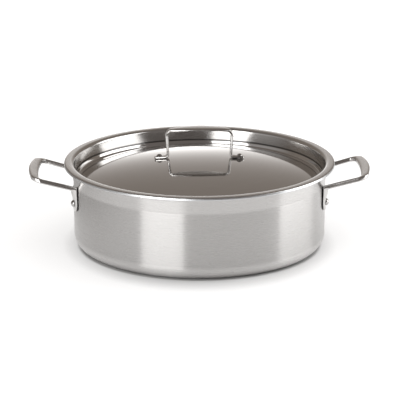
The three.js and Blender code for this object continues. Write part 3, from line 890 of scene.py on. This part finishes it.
def polished_lid():
    """Mirror-polished sheet with faint buffing marks round the dome."""
    finish, tree, shader = metal("polished_lid")
    buffed = turned_grain(tree, length=0.03, width=0.0012)
    haze = noise(tree, object_place(tree), scale=25, detail=3)
    fill(
        tree,
        shader,
        {
            "Base Color": tinted(tree, buffed, *LID_TINTS),
            "Roughness": between(tree, haze, *LID_ROUGHNESS),
        },
    )
    return finish


lid = turned_piece("domed_lid", lid_profile(), polished_lid())
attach(lid, "lid")
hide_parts("lid")

# The lid's handle is a steel strap bent to an upright loop, widest in the middle of its top,
# where its edges lean in. Its ends turn out into two feet that lie on the dome, one rivet
# through each.
GRASP_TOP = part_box("lid_handle")[1].z
GRASP_CROWN = 0.003  # the strap's middle above its ends
GRASP_TOP_SPAN = 0.0832
GRASP_FOOT_SPAN = 0.0796
GRASP_THICKNESS = 0.0038
GRASP_MIDDLE_WIDTH = 0.022
GRASP_LEG_WIDTH = 0.0056
GRASP_CORNER = 0.0086
GRASP_LEAN = 0.0024  # how far in each edge leans in the middle of the strap
FOOT_THICKNESS = 0.003
FOOT_WIDTH = 0.01
FOOT_TIP_WIDTH = 0.006
FOOT_BEND = 0.004
FOOT_SPAN = 0.109
FOOT_RIVET_SPAN = 0.0966
FOOT_TILT = asin(FOOT_RIVET_SPAN / 2 / DOME_RADIUS)
FOOT_MIDDLE = DOME_RADIUS + SEAT_GAP + FOOT_THICKNESS / 2
FOOT_END_STOP = radians(8)  # left of the quarter circle at a foot's blunt tip
STRAP_SHARES = 0, 0.12, 0.25, 0.38, 0.5, 0.62, 0.72
LEG_SHARES = 0.2, 0.5, 0.8
FOOT_SHARES = 0.3, 0.6, 0.9
GRASP_CORNER_STEPS = 10
FOOT_BEND_STEPS = 6
FOOT_END_STEPS = 7


def on_foot(x):
    """The foot's middle line, which lies along the dome's slope at its rivet."""
    rivet = FOOT_MIDDLE * sin(FOOT_TILT), DOME_CENTRE + FOOT_MIDDLE * cos(FOOT_TILT)
    return x, rivet[1] - (x - rivet[0]) * tan(FOOT_TILT)


def half_grasp():
    """Stations from the middle of the strap to a foot's tip: a point, a width, a thickness."""
    top = GRASP_TOP - GRASP_THICKNESS / 2
    shoulder = (GRASP_TOP_SPAN - GRASP_THICKNESS) / 2, top - GRASP_CROWN
    heel = on_foot((GRASP_FOOT_SPAN - GRASP_THICKNESS) / 2)
    toe = on_foot(FOOT_SPAN / 2)
    corner = GRASP_CORNER - GRASP_THICKNESS / 2
    bend = FOOT_BEND - FOOT_THICKNESS / 2
    strap = [(shoulder[0] * share, top - GRASP_CROWN * share**2) for share in STRAP_SHARES]
    upper = rounded_corner(strap[-1], shoulder, heel, corner, GRASP_CORNER_STEPS)
    lower = rounded_corner(shoulder, heel, toe, bend, FOOT_BEND_STEPS)
    stations = []
    for point in strap + upper:
        narrowing = GRASP_MIDDLE_WIDTH - GRASP_LEG_WIDTH
        width = GRASP_MIDDLE_WIDTH - narrowing * min(point[0] / shoulder[0], 1) ** 2
        stations.append((point, width, GRASP_THICKNESS))
    for share in LEG_SHARES:
        leg = [upper[-1][i] + (lower[0][i] - upper[-1][i]) * share for i in (0, 1)]
        width = GRASP_LEG_WIDTH + (FOOT_WIDTH - GRASP_LEG_WIDTH) * share
        thickness = GRASP_THICKNESS + (FOOT_THICKNESS - GRASP_THICKNESS) * share
        stations.append((leg, width, thickness))
    stations += [(point, FOOT_WIDTH, FOOT_THICKNESS) for point in lower]
    tip = FOOT_SPAN / 2 - FOOT_TIP_WIDTH / 2
    start = lower[-1][0]
    for share in FOOT_SHARES:
        width = FOOT_WIDTH + (FOOT_TIP_WIDTH - FOOT_WIDTH) * share
        stations.append((on_foot(start + (tip - start) * share), width, FOOT_THICKNESS))
    for x, half in arc((tip, 0), FOOT_TIP_WIDTH / 2, pi / 2, FOOT_END_STOP, FOOT_END_STEPS):
        stations.append((on_foot(x), 2 * half, FOOT_THICKNESS))
    return stations


def grasp_rings(section):
    """Rings square to the strap's middle line, from one foot's tip to the other's."""
    half = half_grasp()
    stations = [((-p[0], p[1]), w, t) for p, w, t in reversed(half[1:])] + half
    rings = []
    for i, ((x, z), width, thickness) in enumerate(stations):
        before, after = stations[max(i - 1, 0)][0], stations[min(i + 1, len(stations) - 1)][0]
        along = after[0] - before[0], after[1] - before[1]
        normal = -along[1] / hypot(*along), along[0] / hypot(*along)
        wide = max(width - FOOT_WIDTH, 0) / (GRASP_MIDDLE_WIDTH - FOOT_WIDTH)
        lean = GRASP_LEAN * sqrt(wide)
        rings.append(
            [
                (
                    x + normal[0] * up * thickness / 2,
                    across * (width / 2 - lean * (1 + up) / 2),
                    z + normal[1] * up * thickness / 2,
                )
                for across, up in section
            ]
        )
    return rings


strap = strap_section(points=32, squareness=3)
grasp = lofted_piece("lid_grasp", grasp_rings(strap), handle_steel)
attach(grasp, "lid")
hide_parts("lid_handle")

# Two small steel rivets hold the feet to the lid, set square to the dome's slope.
# They have low domed heads on both faces.
LID_RIVET_SHANK = 0.0034
LID_RIVET_HEAD = 0.0068
LID_RIVET_HEAD_HEIGHT = 0.0022
LID_RIVET_UNDER_HEAD = 0.0074
LID_RIVET_UNDER_HEIGHT = 0.0014
FOOT_FACE = FOOT_MIDDLE + FOOT_THICKNESS / 2 + SEAT_GAP
UNDER_LID = DOME_RADIUS - LID_SHEET - SEAT_GAP
lid_rivet_profile = rivet_profile(
    LID_RIVET_SHANK,
    LID_RIVET_HEAD,
    LID_RIVET_HEAD_HEIGHT,
    FOOT_FACE - UNDER_LID,
    LID_RIVET_UNDER_HEAD,
    LID_RIVET_UNDER_HEIGHT,
)
lid_seats = []
for side in (-1, 1):
    outward = side * sin(FOOT_TILT), 0, cos(FOOT_TILT)
    lid_seats.append(((FOOT_FACE * outward[0], 0, DOME_CENTRE + FOOT_FACE * outward[2]), outward))
lid_rivets = set_of_rivets("lid_rivets", lid_rivet_profile, lid_seats, rivet_steel)
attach(lid_rivets, "lid")
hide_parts("lid_rivet_left", "lid_rivet_right")

# The floor is plain and pale, and keeps the pan's soft shadow and a dark line of contact.
# What the camera and the steel see of it is lifted to white away from the pan; near the pan
# that glow is held back and at its edge left off, a painted shadow and contact line.
FLOOR_HALF = 15
FLOOR_DROP = 0.0003
FLOOR_PALE = 0.5, 0.5, 0.5, 1
# painted shadow: the glow is left off out to here, a dark line at the pan's edge, and held back
# nearer in
CONTACT_SHADOW_START = 0.1455
CONTACT_SHADOW_END = 0.1495
NEAR_LIFT = 0.58
NEAR_START = 0.118
NEAR_END = 0.168
FRONT_STRETCH = 0.9
FAR_LIFT = 0.42
FAR_START = 0.16
FAR_END = 0.9
# painted dark reflection: the steel sees the floor's glow cut to a share here, the camera sees it
# whole
DIM_AZIMUTH = radians(-140)  # behind at the left, where the steel mirrors a dimmer floor
DIM_START = 0.18
DIM_END = 0.3
DIM_SHARE = 0.2


def at(azimuth, distance, height):
    """A place round the pan: azimuth 0 is in front, positive to the right."""
    return distance * sin(azimuth), -distance * cos(azimuth), height


def way_along(tree, way, azimuth):
    """How far a vector reaches towards an azimuth."""
    return vector_maths(tree, "DOT_PRODUCT", {0: way, 1: at(azimuth, 1, 0)}, "Value")


def white_floor():
    """Pale floor, with a glow that only the camera and the steel see."""
    finish = bpy.data.materials.new("white_floor")
    finish.use_nodes = True
    tree = finish.node_tree
    tree.nodes.clear()
    x, y, _, reach = round_the_axis(tree)
    flat, oval = off_axis(tree, x, maths(tree, "MULTIPLY", y, FRONT_STRETCH))
    # painted shadow: no glow at the pan's edge, and less near it
    clear = between(tree, reach, 0, 1, CONTACT_SHADOW_START, CONTACT_SHADOW_END)
    near = between(tree, oval, 0, NEAR_LIFT, NEAR_START, NEAR_END)
    far = between(tree, reach, 0, FAR_LIFT, FAR_START, FAR_END)
    lift = maths(tree, "ADD", maths(tree, "MULTIPLY", near, clear), far)
    # painted dark reflection behind at the left, for glossy rays only
    dim = between(tree, way_along(tree, flat, DIM_AZIMUTH), 1, DIM_SHARE, DIM_START, DIM_END)
    path = add_node(tree, "ShaderNodeLightPath").outputs
    mirrored = maths(tree, "MULTIPLY", path["Is Glossy Ray"], dim)
    seen = maths(tree, "ADD", path["Is Camera Ray"], mirrored)
    seen = maths(tree, "MINIMUM", maths(tree, "ADD", seen, path["Is Transmission Ray"]), 1)
    pale = add_node(tree, "ShaderNodeBsdfDiffuse", {"Color": FLOOR_PALE})
    glow = add_node(tree, "ShaderNodeEmission", {"Strength": maths(tree, "MULTIPLY", lift, seen)})
    both = add_node(tree, "ShaderNodeAddShader", {0: pale.outputs[0], 1: glow.outputs[0]})
    add_node(tree, "ShaderNodeOutputMaterial", {"Surface": both.outputs[0]})
    return finish


floor_mesh = bpy.data.meshes.new("floor")
sides = (-1, -1), (1, -1), (1, 1), (-1, 1)
corners = [(x * FLOOR_HALF, y * FLOOR_HALF, -FLOOR_DROP) for x, y in sides]
floor_mesh.from_pydata(corners, [], [(0, 1, 2, 3)])
floor_mesh.materials.append(white_floor())
place_in_scene("floor", floor_mesh)

# The room that the steel mirrors: a backdrop lit low in its middle, and dark in front but
# for a glow at the left. The camera itself sees plain white.
ROOM = 0.178, 0.16, 0.15
BACKDROP_TOP = 0.25, 0.215, 0.188
BACKDROP_START = -0.1
BACKDROP_END = 0.35
BACKDROP_GLOW = 2.2
BACKDROP_SPREAD = 0.17
BACKDROP_SQUEEZE = 1.6
SIDE_GLOW = 0.3
SIDE_AZIMUTH = radians(-62)
SIDE_START = 0.75
SIDE_END = 1


def studio_world():
    """The room's light, by direction."""
    world = bpy.data.worlds.new("studio")
    world.use_nodes = True
    tree = world.node_tree
    way = add_node(tree, "ShaderNodeTexCoord").outputs["Generated"]
    x, y, z = add_node(tree, "ShaderNodeSeparateXYZ", {0: way}).outputs
    aside = maths(tree, "MULTIPLY", x, BACKDROP_SQUEEZE)
    off_middle = off_axis(tree, aside, z)[1]
    fade = maths(tree, "EXPONENT", maths(tree, "DIVIDE", off_middle, -BACKDROP_SPREAD))
    behind = between(tree, y, 0, 1, BACKDROP_START, BACKDROP_END)
    lit = maths(tree, "MULTIPLY", maths(tree, "MULTIPLY", fade, BACKDROP_GLOW), behind)
    side = way_along(tree, way, SIDE_AZIMUTH)
    lit = maths(tree, "ADD", lit, between(tree, side, 0, SIDE_GLOW, SIDE_START, SIDE_END))
    grey = add_node(tree, "ShaderNodeCombineColor", {0: lit, 1: lit, 2: lit}).outputs[0]
    wall = tinted(tree, behind, ROOM, BACKDROP_TOP)
    around = mixed(tree, 1, wall, grey, blend_type="ADD")
    path = add_node(tree, "ShaderNodeLightPath").outputs
    white = 1, 1, 1, 1
    shown = mixed(tree, path["Is Camera Ray"], around, white)
    fill(tree, tree.nodes["Background"], {"Color": shown})
    return world


bpy.context.scene.world = studio_world()

# Three lights: a large soft box in front at the left and a white card at the right, which
# make the two pale strips on the wall, and an even fill from above that isn't mirrored.
FILL_HEIGHT = 1.65
FILL_SIZE = 2, 2
FILL_GLOW = 1.4
LEFT_AZIMUTH = radians(-33.5)
LEFT_DISTANCE = 2
LEFT_HEIGHT = 0.75
LEFT_SIZE = 1.36, 1.5
LEFT_GLOW = 3.7
CARD_PLACE = 0.924, 0.13, 0.42
CARD_TARGET = 0.602, 0.368, 0.42
CARD_SIZE = 1, 0.84
CARD_GLOW = 2.5


def soft_box(name, place, target, size, glow):
    """A soft box that faces a target, with this radiance on its face."""
    lamp = bpy.data.lights.new(name, "AREA")
    lamp.shape = "RECTANGLE"
    lamp.size, lamp.size_y = size
    lamp.energy = glow * pi * size[0] * size[1]
    box = place_in_scene(name, lamp)
    box.location = place
    box.rotation_euler = (Vector(place) - Vector(target)).to_track_quat("Z", "Y").to_euler()
    box.visible_camera = False
    return box


fill_light = soft_box("overhead_fill", (0, 0, FILL_HEIGHT), (0, 0, 0), FILL_SIZE, FILL_GLOW)
fill_light.visible_glossy = False
left_place = at(LEFT_AZIMUTH, LEFT_DISTANCE, LEFT_HEIGHT)
soft_box("left_box", left_place, (0, 0, LEFT_HEIGHT), LEFT_SIZE, LEFT_GLOW)
soft_box("right_card", CARD_PLACE, CARD_TARGET, CARD_SIZE, CARD_GLOW)

# The camera stands low in front, a touch to the left, with a long lens.
# It aims a little below the middle of the rim.
RIM_CENTRE_HEIGHT = 0.103
CAMERA_DISTANCE = 2.454
CAMERA_AZIMUTH = radians(-1.3)
CAMERA_ELEVATION = radians(15.63)
LOOK_BELOW_RIM = radians(1.125)
LOOK_ASIDE = radians(0.017)
LENS = 182.5
SENSOR_WIDTH = 36
CLIP_END = 100
camera = place_in_scene("camera", bpy.data.cameras.new("camera"))
camera.data.lens = LENS
camera.data.sensor_width = SENSOR_WIDTH
camera.data.clip_end = CLIP_END
camera_height = RIM_CENTRE_HEIGHT + CAMERA_DISTANCE * sin(CAMERA_ELEVATION)
camera.location = at(CAMERA_AZIMUTH, CAMERA_DISTANCE * cos(CAMERA_ELEVATION), camera_height)
tip = pi / 2 - CAMERA_ELEVATION - LOOK_BELOW_RIM
camera.rotation_euler = tip, 0, CAMERA_AZIMUTH - LOOK_ASIDE
bpy.context.scene.camera = camera
bpy.context.scene.view_settings.view_transform = "Standard"
